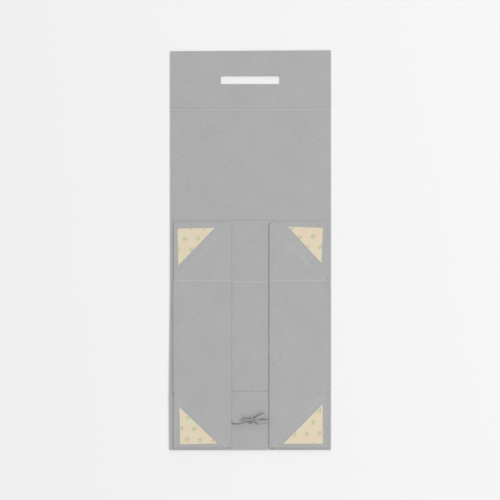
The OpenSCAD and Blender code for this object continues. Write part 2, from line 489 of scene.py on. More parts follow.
@dataclass(frozen=True)
class WrapPaper:
    """Uncoated wrapping paper with a faint grain along X, as on the boards.

    The tone is the mean of three noises: broad clouds, fibres drawn out along X, and fine tooth. Where
    the piece's own stored highlight number is over 0, along a crease or a fold's border, the paper is
    painted lighter: a painted highlight where light would catch a slope.
    """

    name: str
    tone: float
    spread: float = 0.125
    fibre_per_m: float = 620.0
    tooth_per_m: float = 2600.0
    cloud_per_m: float = 26.0
    # How much lighter the paper is painted where it gets a painted highlight.
    worn_gain: float = 1.28

    def make(self) -> bpy.types.Material:
        """Builds the finish.

        Returns:
            The material.
        """
        paper = Finish(self.name)
        drawn = paper.object_place((0.22, 1.0, 1.0))
        even = paper.object_place((1.0, 1.0, 1.0))
        fibre = paper.noise(drawn, self.fibre_per_m, 3.0, 0.6)
        tooth = paper.noise(even, self.tooth_per_m, 2.0, 0.6)
        cloud = paper.noise(even, self.cloud_per_m, 2.0, 0.5)
        tone = fibre * 0.5 + tooth * 0.3 + cloud * 0.2
        share = (tone - 0.5) * 2.2 + 0.5
        low = grey(self.tone * (1.0 - self.spread))
        high = grey(self.tone * (1.0 + self.spread))
        # Painted highlight: the paper is mixed towards a lighter grey where the stored highlight number is
        # over 0.
        highlight_share = paper.stored("worn") * (fibre * 0.6 + 0.7)
        pale = grey(self.tone * self.worn_gain)
        toned = paper.mix(highlight_share, paper.mix(share, low, high), pale)
        paper.link(toned, paper.shader.inputs["Base Color"])
        paper.rough(tooth, 0.78, 0.92)
        paper.constants(Specular_IOR_Level=0.28)
        paper.relief(fibre * 0.55 + tooth * 0.45, 0.00006, 0.55)
        return paper.material


@dataclass(frozen=True)
class ReleasePaper:
    """Cream siliconed paper with slanted printed dashes and a pale cut rim.

    The dashes stand in rows, every second row moved by half a pitch. Each is a pair of bars: inside a
    cell the place is turned by the slant, and a bar is where it is under half the bar's length along,
    and under half its width across from a bar's middle.
    """

    name: str = "release_paper"
    cream: tuple = (0.745, 0.690, 0.500, 1.0)
    blush: tuple = (0.790, 0.635, 0.480, 1.0)
    ink: tuple = (0.470, 0.560, 0.310, 1.0)
    rim: tuple = (0.820, 0.770, 0.640, 1.0)
    pitch_m: float = 0.0180
    row_m: float = 0.0147
    slant_deg: float = 33.0
    bar_half_m: float = 0.0031
    bar_thick_m: float = 0.0009
    bar_apart_m: float = 0.0013
    blur_m: float = 0.0007

    def dashes(self, paper: Finish) -> Value:
        """Draws the dashes on the piece's own flat map.

        Args:
            paper: the finish that they are drawn in.

        Returns:
            The share of ink, from 0 to 1.
        """
        along, up = paper.flat_place()
        along = along * (1.0 / self.pitch_m)
        up = up * (1.0 / self.row_m)
        x = ((along + up.floor() * 0.5).fraction() - 0.5) * self.pitch_m
        y = (up.fraction() - 0.5) * self.row_m
        c = math.cos(math.radians(self.slant_deg))
        s = math.sin(math.radians(self.slant_deg))
        length = (x * c + y * s).size()
        across = ((y * c - x * s).size() - self.bar_apart_m).size()
        return length.inside(self.bar_half_m, self.blur_m) * across.inside(self.bar_thick_m, self.blur_m)

    def make(self) -> bpy.types.Material:
        """Builds the finish.

        Returns:
            The material.
        """
        paper = Finish(self.name)
        even = paper.object_place((1.0, 1.0, 1.0))
        cloud = paper.noise(even, 90.0, 2.0, 0.5)
        tooth = paper.noise(even, 1800.0, 2.0, 0.5)
        ground = paper.mix((cloud - 0.5) * 3.2 + 0.45, self.cream, self.blush)
        fade = paper.noise(even, 240.0, 1.0, 0.5) * 0.6 + 0.6
        printed = paper.mix(self.dashes(paper) * fade, ground, self.ink)
        rimmed = paper.mix(paper.stored("rim"), printed, self.rim)
        paper.link(rimmed, paper.shader.inputs["Base Color"])
        paper.rough(tooth, 0.42, 0.56)
        paper.constants(Specular_IOR_Level=0.4)
        paper.relief(tooth * 0.4 + cloud * 0.6, 0.00008, 0.35)
        return paper.material


@dataclass(frozen=True)
class Tissue:
    """Double-sided adhesive: a pale tacky film over a fibrous carrier."""

    name: str = "tissue_adhesive"

    def make(self) -> bpy.types.Material:
        """Builds the finish.

        Returns:
            The material.
        """
        film = Finish(self.name)
        fibre = film.noise(film.object_place((1.0, 0.4, 1.0)), 900.0, 3.0, 0.6)
        colour = film.mix(fibre, (0.72, 0.71, 0.66, 1.0), (0.84, 0.83, 0.79, 1.0))
        film.link(colour, film.shader.inputs["Base Color"])
        film.rough(fibre, 0.2, 0.4)
        film.constants(Specular_IOR_Level=0.5)
        film.relief(fibre, 0.00003, 0.4)
        return film.material


@dataclass(frozen=True)
class RibbonWeave:
    """Plain ribbon with fine ribs across it, drawn on its own flat map, its edges darkened as painted shade.
    """

    name: str = "ribbon_weave"
    tone: float = 0.378
    rib_m: float = 0.0004
    half_m: float = 0.0029

    def make(self) -> bpy.types.Material:
        """Builds the finish.

        Returns:
            The material.
        """
        weave = Finish(self.name)
        length, across = weave.flat_place()
        rib = (length * (2.0 * math.pi / self.rib_m)).math("SINE") * 0.5 + 0.5
        # Painted shade: a band along the ribbon's edges is mixed towards a dark grey, for the shadow beside a
        # raised edge; the same band also adds to the bump.
        painted_edge_shade = (across - self.half_m * 0.8).math("MULTIPLY", 1.0 / (self.half_m * 0.12), clamp=True)
        cloud = weave.noise(weave.object_place((1.0, 1.0, 1.0)), 400.0, 2.0, 0.5)
        ground = weave.mix(cloud * 0.55 + rib * 0.45, grey(self.tone * 0.9), grey(self.tone * 1.1))
        colour = weave.mix(painted_edge_shade * 0.9, ground, grey(self.tone * 0.25))
        weave.link(colour, weave.shader.inputs["Base Color"])
        weave.rough(cloud, 0.5, 0.66)
        weave.constants(Specular_IOR_Level=0.35, Sheen_Weight=0.25, Sheen_Roughness=0.4)
        weave.relief(rib * 0.7 + painted_edge_shade * 0.3, 0.00005, 0.5)
        return weave.material


@dataclass(frozen=True)
class PaleTable:
    """The table: seen by the camera, a share of its light is its own, so that shadows on it stay faint."""

    name: str = "pale_table"
    level: float = 0.92
    own: float = 0.22

    def make(self) -> bpy.types.Material:
        """Builds the finish.

        Returns:
            The material.
        """
        table = Finish(self.name)
        table.constants(Roughness=1.0, Specular_IOR_Level=0.0)
        table.shader.inputs["Base Color"].default_value = grey(0.8)
        seen = table.node("ShaderNodeBsdfDiffuse")
        seen.inputs["Color"].default_value = grey(self.level - self.own)
        glow = table.node("ShaderNodeEmission")
        glow.inputs["Color"].default_value = grey(self.own)
        both = table.node("ShaderNodeAddShader")
        table.link(seen.outputs[0], both.inputs[0])
        table.link(glow.outputs[0], both.inputs[1])
        path = table.node("ShaderNodeLightPath")
        share = table.number(path.outputs["Is Camera Ray"])
        share = share + table.number(path.outputs["Is Glossy Ray"])
        share = share.math("ADD", table.number(path.outputs["Is Transmission Ray"]), clamp=True)
        chosen = table.node("ShaderNodeMixShader")
        table.link(share.socket, chosen.inputs[0])
        table.link(table.shader.outputs[0], chosen.inputs[1])
        table.link(both.outputs[0], chosen.inputs[2])
        end = next(n for n in table.tree.nodes if n.type == "OUTPUT_MATERIAL")
        table.link(chosen.outputs[0], end.inputs["Surface"])
        return table.material


@dataclass(frozen=True)
class BoardSection:
    """Cross-section of a wrapped board near its edge.

    From the underside up, the section is an arc, an upright, an arc and then low steps further in, one
    for each paper that ends there. At a fold there is no lower arc. At a bevel the top is a straight
    slope.
    """

    bottom: float
    top: float
    edge_r: float = 0.35
    steps: tuple = ((4.0, 0.1),)
    bevel: float = 1.2
    bevel_foot: float = 0.5
    step_run: float = 0.12
    crease_r: float = 0.06
    arc_points: int = 4

    @property
    def face(self) -> float:
        """Height of the outermost paper's face."""
        return self.top - sum(rise for _, rise in self.steps)

    def heights(self) -> np.ndarray:
        """Lists the height of each ring.

        The lower arc stands at the underside plus r less r cos a, and the upper one at the face less r
        plus r sin a. The bevel's foot lies between them, and the steps follow.

        Returns:
            The heights, from the underside up.
        """
        a = np.linspace(0.0, math.pi / 2.0, self.arc_points)
        lower = self.bottom + self.edge_r * (1.0 - np.cos(a))
        upper = self.face - self.edge_r + self.edge_r * np.sin(a)
        foot = max(self.bottom + self.bevel_foot, lower[-1] + 0.01)
        inner = []
        level = self.face
        for _, rise in self.steps:
            inner += [level, level + rise]
            level += rise
        return np.concatenate([lower, [min(foot, upper[0] - 0.01)], upper, inner])

    def insets(self, edge: Edge) -> np.ndarray:
        """Lists the inset of each ring at one kind of edge.

        Args:
            edge: how the edge is finished.

        Returns:
            The insets, from the underside up.
        """
        a = np.linspace(0.0, math.pi / 2.0, self.arc_points)
        heights = self.heights()
        count = self.arc_points
        if edge is Edge.FREE:
            lower = self.edge_r * (1.0 - np.sin(a))
            inner = [inset + run for inset, _ in self.steps for run in (-self.step_run, 0.0)]
        else:
            lower = np.zeros(count)
            last = self.bevel if edge is Edge.BEVEL else self.crease_r
            inner = [last + self.crease_r * (n + 1) / 2.0 for n in range(2 * len(self.steps))]
        if edge is Edge.BEVEL:
            foot = heights[count]
            upper = self.bevel * (heights[count + 1:2 * count + 1] - foot) / (self.face - foot)
        else:
            last = self.edge_r if edge is Edge.FREE else self.crease_r
            upper = last * (1.0 - np.cos(a))
        return np.concatenate([lower, [0.0], upper, inner])

    def rings(self, corners: np.ndarray, edges: list, radius: float, arc_steps: int = 5) -> np.ndarray:
        """Carries the section round a convex outline.

        Args:
            corners: the outline's corners, anticlockwise.
            edges: how the side that leaves each corner is finished.
            radius: the corner radius between two free edges.
            arc_steps: points in each corner's arc.

        Returns:
            The rings, from the underside up, as an array of rings by points by 3.
        """
        table = np.array([self.insets(edge) for edge in edges])
        free = np.array([edge is Edge.FREE for edge in edges])
        rounded = np.where(free & np.roll(free, 1), radius, 0.05)
        made = []
        for height, inset in zip(self.heights(), table.T):
            held = np.maximum(rounded - np.maximum(inset, np.roll(inset, 1)), 0.03)
            outline = offset_ring(corners, inset, held, arc_steps)
            made.append(np.column_stack([outline, np.full(len(outline), height)]))
        return np.array(made)


def rectangle(x0: float, x1: float, y0: float, y1: float) -> np.ndarray:
    """Lists a rectangle's corners, anticlockwise from the lowest x and y."""
    return np.array([[x0, y0], [x1, y0], [x1, y1], [x0, y1]])


def board_piece(name: str, rings: np.ndarray, material: bpy.types.Material) -> bpy.types.Object:
    """Makes a closed board from its rings."""
    faces = ring_faces(rings.shape[0], rings.shape[1])
    return new_piece(name, rings.reshape(-1, 3), faces, material)


def cut_out(piece: bpy.types.Object, cutters: list) -> None:
    """Cuts closed shapes out of a piece for good, and removes the cutters.

    Args:
        piece: the piece that is cut.
        cutters: the closed objects that are taken away.
    """
    for cutter in cutters:
        step = piece.modifiers.new("cut", "BOOLEAN")
        step.operation = "DIFFERENCE"
        step.solver = "EXACT"
        step.object = cutter
    bpy.context.view_layer.update()
    shaped = piece.evaluated_get(bpy.context.evaluated_depsgraph_get())
    mesh = bpy.data.meshes.new_from_object(shaped)
    shade(mesh, SHARP_DEG)
    piece.modifiers.clear()
    piece.data = mesh
    for cutter in cutters:
        bpy.data.objects.remove(cutter)


@dataclass(frozen=True)
class Press:
    """How the lining of one fold was pressed, and its painted highlight, from left to right across the case.

    Attributes:
        dip_at: place of the dip's middle from the fold line, along Y.
        dip_half: half the dip's width.
        depths: the dip's depth at the left, over the channel and at the right.
        worn_at: place of the painted highlight line's middle from the fold line.
        worn_half: half that line's width.
        worn: how much lighter it is painted at the left, over the channel and at the right.
    """

    dip_at: float
    dip_half: float
    depths: tuple
    worn_at: float
    worn_half: float
    worn: tuple


@dataclass(frozen=True)
class CaseFold:
    """One fold of the case.

    Attributes:
        joint: the fold's joint.
        low_body: the body on the fold's lower Y side.
        high_body: the body on its higher Y side.
        lining_on: the side whose board stands further back from the fold, and carries the lining.
        left_in: how far in from a plain rectangle the case's left edge lies there.
        press: how the lining was pressed, and where a highlight is painted on it.
    """

    joint: str
    low_body: str
    high_body: str
    lining_on: End
    left_in: float
    press: Press


@dataclass
class CaseBoards:
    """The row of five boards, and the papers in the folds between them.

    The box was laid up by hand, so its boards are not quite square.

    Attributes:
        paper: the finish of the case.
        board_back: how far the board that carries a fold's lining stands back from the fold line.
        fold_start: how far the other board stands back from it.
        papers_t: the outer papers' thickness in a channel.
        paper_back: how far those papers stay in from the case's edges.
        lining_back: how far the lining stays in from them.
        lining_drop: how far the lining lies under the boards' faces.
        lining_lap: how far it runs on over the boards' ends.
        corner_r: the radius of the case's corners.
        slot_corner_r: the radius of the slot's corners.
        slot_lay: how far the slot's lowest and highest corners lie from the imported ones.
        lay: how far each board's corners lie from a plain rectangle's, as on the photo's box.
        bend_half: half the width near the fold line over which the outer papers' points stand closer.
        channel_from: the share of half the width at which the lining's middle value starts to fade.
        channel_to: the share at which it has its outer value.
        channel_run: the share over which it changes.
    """

    paper: bpy.types.Material
    board_back: float = 2.1
    fold_start: float = 0.4
    papers_t: float = 0.38
    paper_back: float = 0.12
    lining_back: float = 0.3
    lining_drop: float = 0.02
    lining_lap: float = 0.04
    corner_r: float = 1.0
    slot_corner_r: float = 1.3
    slot_lay: tuple = ((-0.8, -1.15), (0.45, 0.0))
    lay: tuple = (
        ("front_wall", ((-1.0, -0.3), (0.0, 0.0), (0.1, 0.0), (-1.4, 0.0))),
        ("base_panel", ((-1.3, 0.0), (0.1, 0.0), (0.1, 0.0), (0.3, 0.0))),
        ("back_wall", ((0.3, 0.0), (0.1, 0.0), (0.1, 0.0), (0.35, 0.0))),
        ("lid_panel", ((0.4, 0.0), (0.1, 0.0), (0.1, 0.0), (0.4, 0.0))),
        ("closure_flap", ((0.2, 0.0), (0.1, 0.0), (0.1, 0.4), (0.2, -1.0))),
    )
    bend_half: float = 0.45
    channel_from: float = 0.27
    channel_to: float = 0.37
    channel_run: float = 0.1

    def __post_init__(self) -> None:
        """Reads the boards' sizes from the frame."""
        low, high = node_box("lid_panel")
        self.half_w = high[0]
        self.top = high[2]
        self.base_y = joint_place("walls_fold")[1]
        self.lid_y = joint_place("lid_fold")[1]
        self.flap_y = joint_place("closure_flap_fold")[1]
        self.front_y = node_box("front_wall")[0][1]
        self.flap_end_y = node_box("closure_flap")[1][1]
        self.section = BoardSection(0.0, self.top)

    def folds(self) -> list:
        """Lists the case's folds.

        Returns:
            The folds, from the front wall's to the closure flap's.
        """
        # Each press ends with the place, half width and strength of the painted highlight along its crease.
        return [
            CaseFold("front_wall_fold", "front_wall_body", "base", End.BACK, -1.35,
                     Press(0.15, 0.5, (0.15, 0.5, 0.2), 1.5, 0.4, (0.0, 0.0, 0.0))),
            CaseFold("walls_fold", "base", "back_wall_body", End.FRONT, 0.3,
                     Press(-1.75, 0.3, (0.04, 0.06, 0.04), -0.35, 0.9, (0.4, 0.85, 0.5))),
            CaseFold("lid_fold", "back_wall_body", "lid_body", End.FRONT, 0.4,
                     Press(-0.5, 0.65, (0.2, 0.5, 0.12), -1.5, 0.5, (0.0, 1.0, 0.3))),
            CaseFold("closure_flap_fold", "lid_body", "flap_body", End.FRONT, 0.3,
                     Press(0.15, 0.3, (0.3, 0.25, 0.1), -0.8, 0.6, (1.3, 1.2, 1.1))),
        ]

    def board(self, name: str, body: str, y0: float, y1: float, first: Edge, last: Edge) -> bpy.types.Object:
        """Makes one board from y0 to y1 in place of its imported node, and lets it ride on its body.

        Args:
            name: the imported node's name.
            body: the body that the board rides on.
            y0: its lower Y edge.
            y1: its higher Y edge.
            first: how the edge at y0 is finished.
            last: how the edge at y1 is finished.

        Returns:
            The board.
        """
        corners = rectangle(-self.half_w, self.half_w, y0, y1) + dict(self.lay)[name]
        rings = self.section.rings(corners, [first, Edge.FREE, last, Edge.FREE], self.corner_r)
        piece = board_piece(name + "_board", rings, self.paper)
        self.settle(piece, name, body)
        return piece

    def settle(self, piece: bpy.types.Object, node: str, body: str) -> None:
        """Puts a board in its node's place.

        Args:
            piece: the board.
            node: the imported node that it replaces.
            body: the body that it rides on.
        """
        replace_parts(piece, node)
        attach(piece, body)
        LOG.info("board %s rides on %s", piece.name, body)

    def flap(self) -> bpy.types.Object:
        """Makes the closure flap, whose rings run on down the wall of its handle slot.

        Returns:
            The flap.
        """
        y0 = self.flap_y + self.fold_start
        corners = rectangle(-self.half_w, self.half_w, y0, self.flap_end_y) + dict(self.lay)["closure_flap"]
        edges = [Edge.CREASE, Edge.FREE, Edge.FREE, Edge.FREE]
        outside = self.section.rings(corners, edges, self.corner_r)
        slot_low, slot_high = self.slot_box()[:, :2] + self.slot_lay
        slot = rectangle(slot_low[0], slot_high[0], slot_low[1], slot_high[1])
        wall = BoardSection(0.0, self.top, steps=())
        free = wall.insets(Edge.FREE)
        holes = []
        for height, inset in zip(wall.heights()[::-1], free[::-1]):
            radii = np.full(4, self.slot_corner_r + inset)
            outline = offset_ring(slot, np.full(4, -inset), radii, outside.shape[1] // 4)
            holes.append(np.column_stack([outline, np.full(len(outline), height)]))
        rings = np.concatenate([outside, np.array(holes)])
        faces = ring_faces(rings.shape[0], rings.shape[1], joined=True)
        piece = new_piece("closure_flap_board", rings.reshape(-1, 3), faces, self.paper)
        self.settle(piece, "closure_flap", "flap_body")
        return piece

    def slot_box(self) -> np.ndarray:
        """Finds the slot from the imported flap's inner vertices.

        Returns:
            Its lowest and highest corner, as two rows.
        """
        points = node_points("closure_flap")
        far_from_edge = np.abs(points[:, 0]) < self.half_w / 2.0
        far_from_edge &= points[:, 1] > self.flap_y + self.board_back
        far_from_edge &= points[:, 1] < self.flap_end_y - self.board_back
        inner = points[far_from_edge]
        return np.array([inner.min(axis=0), inner.max(axis=0)])

    def ends(self, fold: CaseFold) -> np.ndarray:
        """Finds where the boards end beside a fold.

        Args:
            fold: the fold.

        Returns:
            The Y of the ends on its lower and higher side.
        """
        y = joint_place(fold.joint)[1]
        if fold.lining_on is End.FRONT:
            return np.array([y - self.board_back, y + self.fold_start])
        return np.array([y - self.fold_start, y + self.board_back])

    def fold_papers(self, fold: CaseFold) -> None:
        """Makes the outer papers in one fold's channel.

        The sheet lies on the table. Its stations across the fold stand closer near the fold line: the
        line's place plus the half width times the sine of an evenly growing angle.

        Args:
            fold: the fold.
        """
        y = joint_place(fold.joint)[1]
        ends = self.ends(fold)
        near = y + self.bend_half * np.sin(np.linspace(-math.pi / 2.0, math.pi / 2.0, 9))
        near = near[(near > ends[0] + 0.02) & (near < ends[1] - 0.02)]
        stations = np.concatenate([ends[:1], near, ends[1:]])
        across = np.array([fold.left_in + self.paper_back - self.half_w, self.half_w - self.paper_back])
        x, station = np.meshgrid(across, stations, indexing="ij")
        upper = np.stack([x, station, np.full_like(x, self.papers_t)], axis=-1)
        lower = np.stack([x, station, np.zeros_like(x)], axis=-1)
        piece = sheet_piece(fold.joint + "_papers", upper, lower, self.paper)
        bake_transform(piece)
        LOG.info("papers of %s bend between %s and %s", fold.joint, fold.low_body, fold.high_body)

    def lining(self, fold: CaseFold) -> None:
        """Makes the lining over a fold's channel, which closes up against its board as the fold closes.

        With t the distance from the dip's middle over its half width, the height is the boards' face
        less the depth times the square of one less t squared. The depth and the strength of the painted
        highlight, a paler line where light would catch the crease, change along X by a smooth step between
        the left, the channel and the right.

        Args:
            fold: the fold.
        """
        y = joint_place(fold.joint)[1]
        press = fold.press
        low, high = self.ends(fold)
        stations = np.linspace(low - self.lining_lap, high + self.lining_lap, 29)
        edge = self.half_w - self.lining_back
        marks = np.array([self.channel_from, 0.32, self.channel_to, 0.5, 1.0])
        across = np.concatenate([-marks[::-1], marks]) * edge
        across[0] += fold.left_in
        x, station = np.meshgrid(across, stations, indexing="ij")
        t = (station - y - press.dip_at) / press.dip_half
        pressed = np.where(np.abs(t) < 1.0, (1.0 - t ** 2) ** 2, 0.0)
        depth = self.along_x(x, press.depths)
        upper = np.stack([x, station, self.top - self.lining_drop - depth * pressed], axis=-1)
        lower = np.stack([x, station, np.full_like(x, self.papers_t + 0.01)], axis=-1)
        piece = sheet_piece(fold.joint + "_lining", upper, lower, self.paper)
        # Painted highlight: a paler line is painted along the crease where light would catch it.
        off = np.abs(station - y - press.worn_at) / press.worn_half
        worn = (1.0 - smooth(off)) * self.along_x(x, press.worn)
        set_number(piece, "worn", np.concatenate([worn.ravel(), np.zeros(worn.size)]))
        front = fold.lining_on is End.FRONT
        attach(piece, fold.low_body if front else fold.high_body)
        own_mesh(piece)
        LOG.info("lining of %s closes up with its fold", fold.joint)

    def along_x(self, x: np.ndarray, values: tuple) -> np.ndarray:
        """Runs from a left value over a middle one to a right one, by smooth steps beside the channel.

        Args:
            x: places across the case.
            values: the left, middle and right value.

        Returns:
            The value at each place.
        """
        left, middle, right = values
        run = self.channel_run * self.half_w
        rise = smooth((x + self.channel_to * self.half_w) / run)
        fall = smooth((x - self.channel_from * self.half_w) / run)
        return left + (middle - left) * rise + (right - middle) * fall

    def slits(self, wall: bpy.types.Object, ribbon: "RibbonBow") -> None:
        """Cuts the two ribbon slits and the shallow bed of the ribbon's outer run in the front wall.

        Args:
            wall: the front wall's board.
            ribbon: the ribbon, which gives the slits' places and sizes.
        """
        half_band = ribbon.band_half + ribbon.clear
        half_slit = ribbon.thick / 2.0 + ribbon.clear
        cutters = []
        for side in Side:
            x = side.value * ribbon.slit_x
            outline = rectangle(x - half_slit, x + half_slit, ribbon.y - half_band, ribbon.y + half_band)
            cutters.append(self.cutter(outline, -1.0, self.top + 1.0))
        reach = ribbon.slit_x + half_slit
        bed = rectangle(-reach, reach, ribbon.y - half_band, ribbon.y + half_band)
        cutters.append(self.cutter(bed, -1.0, ribbon.thick + ribbon.clear / 3.0))
        cut_out(wall, cutters)

    def cutter(self, outline: np.ndarray, low: float, high: float) -> bpy.types.Object:
        """Makes an upright block over an outline, for cutting."""
        rings = np.array([np.column_stack([outline, np.full(len(outline), z)]) for z in (low, high)])
        return new_piece("cutter", rings.reshape(-1, 3), ring_faces(2, len(outline)), self.paper)

    def build(self, ribbon: "RibbonBow") -> None:
        """Makes every board and fold of the case.

        Args:
            ribbon: the ribbon, whose slits are cut in the front wall.
        """
        base, back = self.base_y, self.board_back
        near = self.fold_start
        wall = self.board("front_wall", "front_wall_body", self.front_y, -base - near, Edge.FREE, Edge.CREASE)
        self.slits(wall, ribbon)
        self.board("base_panel", "base", -base + back, base - back, Edge.CREASE, Edge.CREASE)
        self.board("back_wall", "back_wall_body", base + near, self.lid_y - back, Edge.CREASE, Edge.CREASE)
        self.board("lid_panel", "lid_body", self.lid_y + near, self.flap_y - back, Edge.CREASE, Edge.CREASE)
        self.flap()
        for fold in self.folds():
            self.fold_papers(fold)
            self.lining(fold)


@dataclass
class FoldingSides:
    """The two side strips: a side wall and four gusset halves each, with the papers in their folds.

    The strips were laid by hand, so a few lengths are pairs.

    Attributes:
        paper: the finish of the strips.
        end_gap: how far a side wall's end stays short of the base's crease.
        edge_gap: how far a strip's outer edge stays in from the side wall's fold line.
        edge_r: the radius of the boards' edges.
        corner_r: the radius of the boards' corners.
        groove_half: half a diagonal groove's width.
        groove_sag: how deep the paper sinks in it.
        diagonal_lap: how far that paper laps onto the boards beside it.
        diagonal_worn: how strong the painted highlight on its borders is.
        diagonal_stations: how many points it has across.
        paper_lift: how far it lies over the boards' faces.
        bend_half: half the width across the diagonal's middle that gives two points, which are not used.
        paper_t: the thickness of the strips' paper.
        tip_clear: how far a folding gusset's tip stays in from the side wall's fold line.
        run_on: how far a fixed gusset runs on past its node's end, at the back and at the front.
        free_back: how far further out than its node's a strip's free edge lies, left and right.
        outer_reach: how far further out a side wall's outer edge lies, left and right.
        ridges: where papers end under the outermost one, and how much each adds.
        glue_lift: how far glued paper lies over the board under it.
        glued_bevel: how far in a fixed gusset's gentle slope runs at the front.
        glued_foot: the least height over its underside at which that slope starts.
        vertex_clear: how far a diagonal's paper starts from the point where the folds meet.
        vertex_run: the length over which it widens from there.
        vertex_half: its width there on the fixed half's side.
        vertex_lap: its width there on the folding half's side.
        pressed_share: the share of a paper's thickness that is left where it is pressed.
        plug_run: how far the turned-in paper reaches into a groove's end.
        plug_skip: how many of the groove's points it leaves out on each side.
        fold_foot: how far out from a side wall's edge its fold paper reaches on the base.
        fold_out: how far out from that edge the paper's arc starts.
        fold_arc: how far in from there the arc runs.
        fold_rise: how far over the strip's underside it ends.
        fold_paper_t: that paper's thickness.
        fold_lean: the share of its thickness that is taken along X and along Z.
        crease_paper_t: the thickness of the paper over a corner's crease at the back.
        crease_worn: how strong the painted highlight on it is there.
        crease_lap: how far the paper of a corner's crease lies over the side wall.
        crease_reach: how far it reaches past the base's crease.
        crease_in: how far it stays back from the strip's free edge.
        crease_out: how far it stays in from the outer edge.
        crease_front: its thickness at the front as a share of that at the back.
    """

    paper: bpy.types.Material
    end_gap: float = 1.9
    edge_gap: float = 0.2
    edge_r: float = 0.35
    run_on: tuple = (1.2, 2.2)
    groove_half: float = 1.9
    groove_sag: float = 0.1
    diagonal_lap: float = 0.25
    diagonal_worn: float = 0.4
    paper_lift: float = 0.03
    bend_half: float = 0.8
    vertex_clear: float = 3.0
    paper_t: float = 0.3
    tip_clear: float = 2.6
    crease_paper_t: float = 0.1
    crease_worn: float = 0.5
    crease_reach: float = 2.3
    crease_lap: float = 1.9
    crease_in: float = 0.12
    crease_out: float = 0.02
    crease_front: float = 0.3
    plug_run: float = 2.5
    plug_skip: int = 3
    corner_r: float = 0.3
    ridges: tuple = ((1.9, 0.06), (5.0, 0.06))
    glue_lift: float = 0.02
    glued_bevel: float = 2.8
    glued_foot: float = 0.05
    vertex_run: float = 2.0
    vertex_half: float = 1.8
    vertex_lap: float = 0.3
    pressed_share: float = 0.7
    fold_foot: float = 1.6
    fold_out: float = 0.35
    fold_arc: float = 0.4
    fold_rise: float = 0.5
    fold_lean: float = 0.7
    fold_paper_t: float = 0.1
    diagonal_stations: int = 17
    free_back: tuple = (0.5, -0.15)
    outer_reach: tuple = (0.5, 0.0)

    def __post_init__(self) -> None:
        """Reads the strips' sizes from the frame."""
        fold = joint_place("right_side_fold")
        low, high = node_box("right_side_wall")
        self.fold_x = fold[0]
        self.free_x = low[0]
        self.bottom = low[2]
        self.top = high[2]
        self.crease_y = joint_place("walls_fold")[1]
        self.wall_t = node_box("base_panel")[1][2]
        self.end_y = self.crease_y - self.end_gap
        self.diagonal = self.fold_x + self.crease_y
        self.section = BoardSection(self.bottom, self.top, edge_r=self.edge_r, steps=self.ridges)
        self.glued_section = BoardSection(
            self.wall_t + self.glue_lift, self.top, edge_r=self.edge_r, steps=self.ridges,
            bevel=self.glued_bevel, bevel_foot=self.glued_foot)

    def free_edge(self, side: Side) -> float:
        """Gives how far out a strip's free edge lies, as the strip was laid by hand."""
        return self.free_x + self.free_back[side is Side.RIGHT]

    def outer_edge(self, side: Side) -> float:
        """Gives how far out a side wall's outer edge lies, as the strip was laid by hand."""
        return self.fold_x - self.edge_gap + self.outer_reach[side is Side.RIGHT]

    def side_wall(self, side: Side) -> None:
        """Makes one side wall, with its ends run out to the corner folds.

        Args:
            side: the long side that it is on.
        """
        x0, x1 = sorted((side.value * self.free_edge(side), side.value * self.outer_edge(side)))
        corners = rectangle(x0, x1, -self.end_y, self.end_y)
        edges = [Edge.CREASE, Edge.FREE, Edge.CREASE, Edge.FREE]
        name = side.name.lower() + "_side_wall"
        piece = board_piece(name + "_board", self.section.rings(corners, edges, self.corner_r), self.paper)
        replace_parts(piece, name)
        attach(piece, side.name.lower() + "_side_body")
        LOG.info("side wall %s", piece.name)

    def side_fold(self, side: Side) -> None:
        """Makes the paper that joins a side wall's outer edge to the base.

        Seen along the fold it is a quarter turn: from its glued foot on the base it rises to the
        board's edge as a quarter of an ellipse.

        Args:
            side: the long side that it is on.
        """
        angle = np.linspace(0.0, math.pi / 2.0, 7)
        rise = self.bottom + self.fold_rise - self.wall_t
        edge = self.outer_edge(side)
        out = edge + self.fold_out - self.fold_arc * np.sin(angle)
        height = self.wall_t + self.glue_lift + rise * (1.0 - np.cos(angle))
        foot = np.array([edge + self.fold_foot])
        x_line = np.concatenate([foot, out])
        z_line = np.concatenate([[self.wall_t + self.glue_lift], height])
        run = np.array([-self.end_y + self.corner_r, self.end_y - self.corner_r])
        station, x = np.meshgrid(run, x_line, indexing="ij")
        z = np.tile(z_line, (2, 1))
        off = self.fold_paper_t * self.fold_lean
        inner = np.stack([side.value * x, station, z], axis=-1)
        outer = np.stack([side.value * (x + off), station, z + off], axis=-1)
        if side is Side.LEFT:
            inner, outer = inner[::-1], outer[::-1]
        piece = sheet_piece(side.name.lower() + "_side_fold_paper", outer[::-1], inner[::-1], self.paper)
        end = (side.value * (self.fold_x - self.fold_paper_t) * MM, 0.0, (self.bottom + self.fold_arc) * MM)
        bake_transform(piece)
        LOG.info("fold paper %s", piece.name)

    def mirrored(self, outline: list, side: Side, end: End) -> np.ndarray:
        """Puts an outline of the back right corner at another corner, anticlockwise again."""
        points = np.array(outline) * [side.value, end.value]
        return points[::-1] if side.value * end.value < 0 else points

    def gusset(self, name: str, outline: list, sides: list, side: Side, end: End, body: str) -> None:
        """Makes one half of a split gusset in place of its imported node.

        Args:
            name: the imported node's name.
            outline: the corners as at the back right, anticlockwise.
            sides: how the side that leaves each corner is finished.
            side: the long side that it is on.
            end: the wall that it is on.
            body: the body that it rides on.
        """
        corners = self.mirrored(outline, side, end)
        edges = list(sides)
        if side.value * end.value < 0:
            edges = [sides[i] for i in range(len(sides) - 2, -2, -1)]
        section = self.glued_section if "fixed" in name else self.section
        piece = board_piece(name + "_board", section.rings(corners, edges, self.corner_r), self.paper)
        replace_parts(piece, name)
        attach(piece, body)
        LOG.info("gusset %s rides on %s", piece.name, body)

